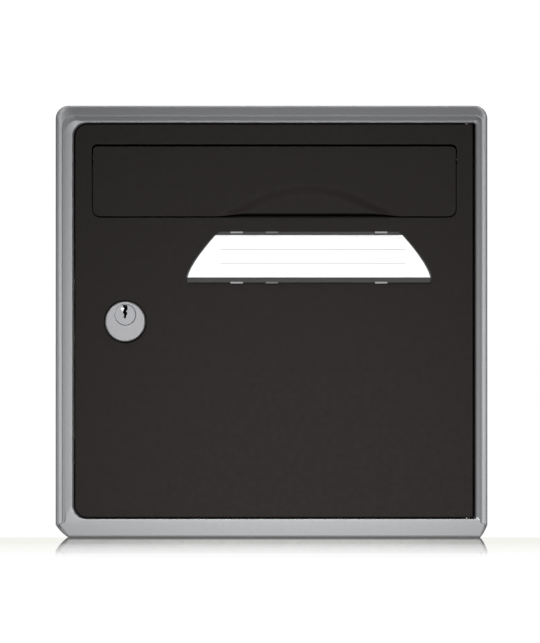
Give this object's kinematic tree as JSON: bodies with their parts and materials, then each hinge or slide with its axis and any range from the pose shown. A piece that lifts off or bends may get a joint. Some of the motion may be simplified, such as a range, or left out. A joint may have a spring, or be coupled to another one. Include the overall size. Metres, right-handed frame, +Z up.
{
  "type": "wall mounted mailbox",
  "caption": "Deep square steel letterbox for a wall: a grey moulded frame round a black key-locked door with a letter flap and a name plate.",
  "frame": {"origin": "centre of the back panel's outer face, which rests on the wall", "axes": "+Z up, +Y into the wall, -Y out of the door, +X to the right as seen from the front"},
  "size_m": [0.3, 0.4, 0.3],
  "materials": {
    "grey_painted_steel": "fine textured grey powder coat",
    "silver_grey_moulding": "silver grey satin moulding",
    "black_powder_coat": "brownish black satin powder coat",
    "zinc_plated_steel": "bright zinc plating",
    "satin_nickel": "satin nickel plating",
    "white_nylon": "natural nylon",
    "black_rubber": "soft black rubber",
    "black_moulding": "black satin moulding",
    "white_card": "plain white card with two faint ruled lines",
    "clear_plastic": "clear polished plastic",
    "blackened_steel": "black oxide finish"
  },
  "bodies": {
    "housing": {"body_shell": "grey_painted_steel", "back_panel": "grey_painted_steel", "front_frame": "silver_grey_moulding", "lock_strike": "zinc_plated_steel", "door_bumper_upper": "black_rubber", "door_bumper_lower": "black_rubber", "hinge_pin_upper": "zinc_plated_steel", "hinge_pin_lower": "zinc_plated_steel", "strike_rivet_upper": "zinc_plated_steel", "strike_rivet_lower": "zinc_plated_steel", "back_panel_rivet_1": "zinc_plated_steel", "back_panel_rivet_2": "zinc_plated_steel", "back_panel_rivet_3": "zinc_plated_steel", "back_panel_rivet_4": "zinc_plated_steel", "back_panel_rivet_5": "zinc_plated_steel", "back_panel_rivet_6": "zinc_plated_steel", "back_panel_rivet_7": "zinc_plated_steel", "back_panel_rivet_8": "zinc_plated_steel", "frame_screw_1": "zinc_plated_steel", "frame_screw_2": "zinc_plated_steel", "frame_screw_3": "zinc_plated_steel", "frame_screw_4": "zinc_plated_steel"},
    "door": {"door_panel": "black_powder_coat", "slot_frame": "black_moulding", "flap_hinge_rod": "blackened_steel", "flap_bumper_left": "black_rubber", "flap_bumper_right": "black_rubber", "name_card": "white_card", "name_cover": "clear_plastic", "lock_body": "satin_nickel", "lock_clip": "zinc_plated_steel", "hinge_bush_upper": "white_nylon", "hinge_bush_lower": "white_nylon", "slot_frame_nut_1": "zinc_plated_steel", "slot_frame_nut_2": "zinc_plated_steel", "slot_frame_nut_3": "zinc_plated_steel", "slot_frame_nut_4": "zinc_plated_steel"},
    "flap": {"letter_flap": "black_powder_coat", "flap_spring_left": "zinc_plated_steel", "flap_spring_right": "zinc_plated_steel"},
    "lock_plug": {"lock_plug": "satin_nickel", "lock_cam": "zinc_plated_steel", "cam_washer": "zinc_plated_steel", "cam_screw": "zinc_plated_steel"}
  },
  "joints": [
    {"name": "door_hinge", "type": "hinge", "parent": "housing", "child": "door", "pos_m": [0.1361, -0.3927, 0], "axis": [0, 0, 1], "range_deg": [0, 90]},
    {"name": "flap_hinge", "type": "hinge", "parent": "door", "child": "flap", "pos_m": [0.002, -0.3924, 0.1148], "axis": [-1, 0, 0], "range_deg": [0, 80], "stiffness_Nm_per_rad": 0.02, "springref_deg": -28.65, "deforming": ["flap_spring_left", "flap_spring_right"]},
    {"name": "lock_turn", "type": "hinge", "parent": "door", "child": "lock_plug", "pos_m": [-0.1016, -0.3966, 0.0049], "axis": [0, 1, 0], "range_deg": [0, 90]}
  ]
}
